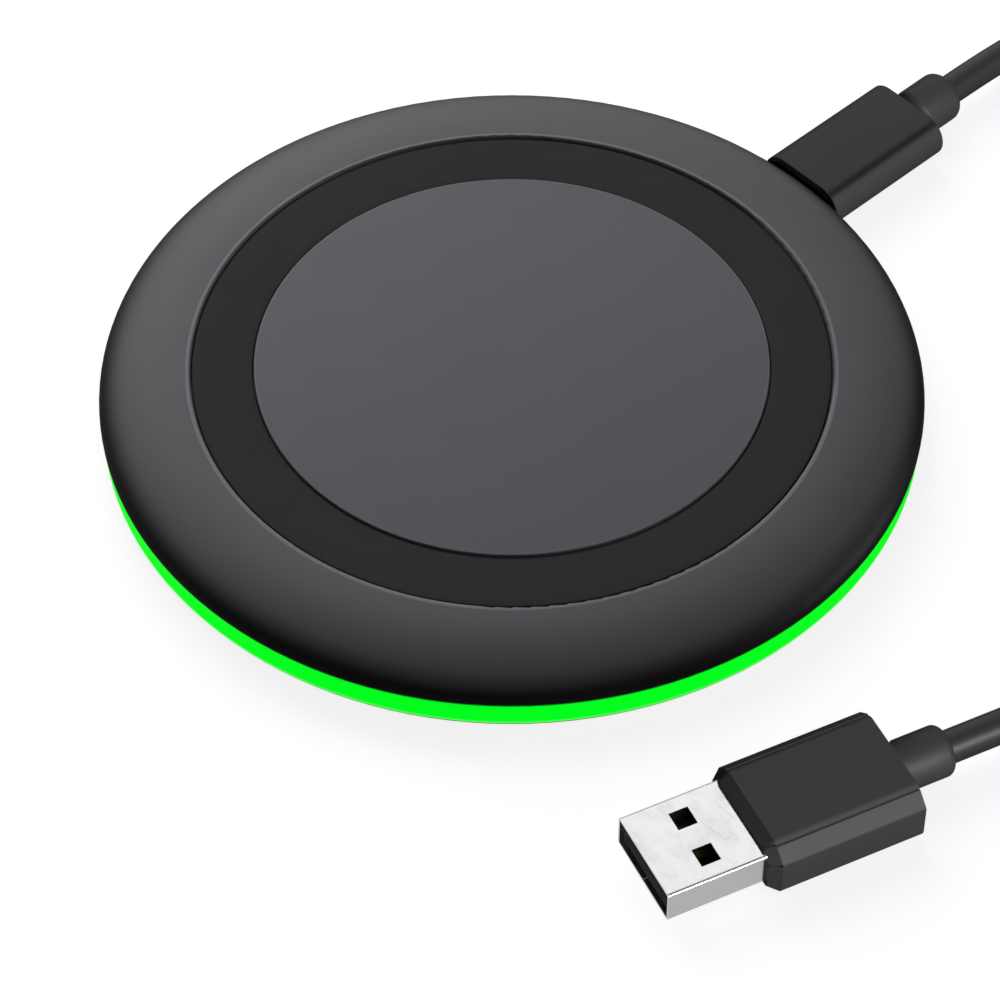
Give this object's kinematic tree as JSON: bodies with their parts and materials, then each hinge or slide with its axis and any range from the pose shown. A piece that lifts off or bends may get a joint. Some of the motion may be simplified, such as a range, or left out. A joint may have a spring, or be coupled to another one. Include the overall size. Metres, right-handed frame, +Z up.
{
  "type": "wireless charging pad",
  "caption": "Round wireless charging pad with a domed casing, a sunken grip ring round a flat centre plate, a lit green edge band, and a detachable USB lead coiled beside it.",
  "frame": {"origin": "on the surface the pad stands on, under the middle of the pad", "axes": "+Z up through the pad's centre plate, +Y out of the USB-C port, +X to the right seen with the port at the back"},
  "size_m": [0.1431, 0.1636, 0.0093],
  "materials": {
    "casing_plastic": "fine satin texture, dark grey",
    "plate_plastic": "very fine matte texture, dark grey",
    "grip_rubber": "matte black silicone",
    "base_plastic": "satin black",
    "light_guide_green": "milky light guide, lit green",
    "reflector_film": "white film",
    "foot_rubber": "matte black silicone",
    "screw_steel": "black zinc",
    "board_green": "solder mask",
    "socket_steel": "drawn, bright",
    "connector_black": "moulded, glass filled",
    "contact_gold": "gold flashed",
    "emitter_white": "white body with a clear window",
    "chip_epoxy": "moulded epoxy",
    "capacitor_ceramic": "fired, tan with tinned ends",
    "resistor_ceramic": "glazed",
    "inductor_ferrite": "pressed powder",
    "thermal_silicone": "soft pad",
    "carrier_plastic": "moulded, natural",
    "ferrite_grey": "sintered, dull",
    "litz_copper": "enamelled litz bundle",
    "tape_clear": "amber polyimide tape",
    "sensor_bead": "dipped epoxy",
    "plug_steel": "nickel plated",
    "insert_black": "moulded",
    "nose_black": "moulded",
    "overmould_black": "soft satin",
    "cable_jacket": "satin jacket",
    "tie_strap": "hook and loop strap"
  },
  "bodies": {
    "pad": {"top_housing": "casing_plastic", "centre_plate": "plate_plastic", "grip_ring": "grip_rubber", "base_cover": "base_plastic", "light_guide": "light_guide_green", "light_reflector": "reflector_film", "foot_ring": "foot_rubber", "case_screws": "screw_steel", "circuit_board": "board_green", "usb_c_socket_shell": "socket_steel", "usb_c_socket_tongue": "connector_black", "usb_c_socket_contacts": "contact_gold", "led_emitters": "emitter_white", "power_controller_chip": "chip_epoxy", "bridge_transistors": "chip_epoxy", "resonant_capacitors": "capacitor_ceramic", "bypass_capacitors": "capacitor_ceramic", "chip_resistors": "resistor_ceramic", "input_inductor": "inductor_ferrite", "thermal_pad": "thermal_silicone", "coil_carrier": "carrier_plastic", "ferrite_sheet": "ferrite_grey", "charging_coil": "litz_copper", "coil_leads": "litz_copper", "coil_tape": "tape_clear", "temperature_sensor": "sensor_bead"},
    "cable": {"usb_c_plug_shell": "plug_steel", "usb_c_plug_insert": "insert_black", "usb_c_plug_contacts": "contact_gold", "usb_c_inner_mould": "nose_black", "usb_c_overmould": "overmould_black", "usb_c_strain_relief": "overmould_black", "cable_lead": "cable_jacket", "cable_coil": "cable_jacket", "cable_tail": "cable_jacket", "cable_tie": "tie_strap", "usb_a_strain_relief": "overmould_black", "usb_a_overmould": "overmould_black", "usb_a_plug_shell": "plug_steel", "usb_a_tongue": "insert_black", "usb_a_contacts": "contact_gold"}
  },
  "joints": [
    {"name": "usb_c_unplug", "type": "slide", "parent": "pad", "child": "cable", "axis": [0, 1, 0], "range_m": [0, 0.012]}
  ]
}
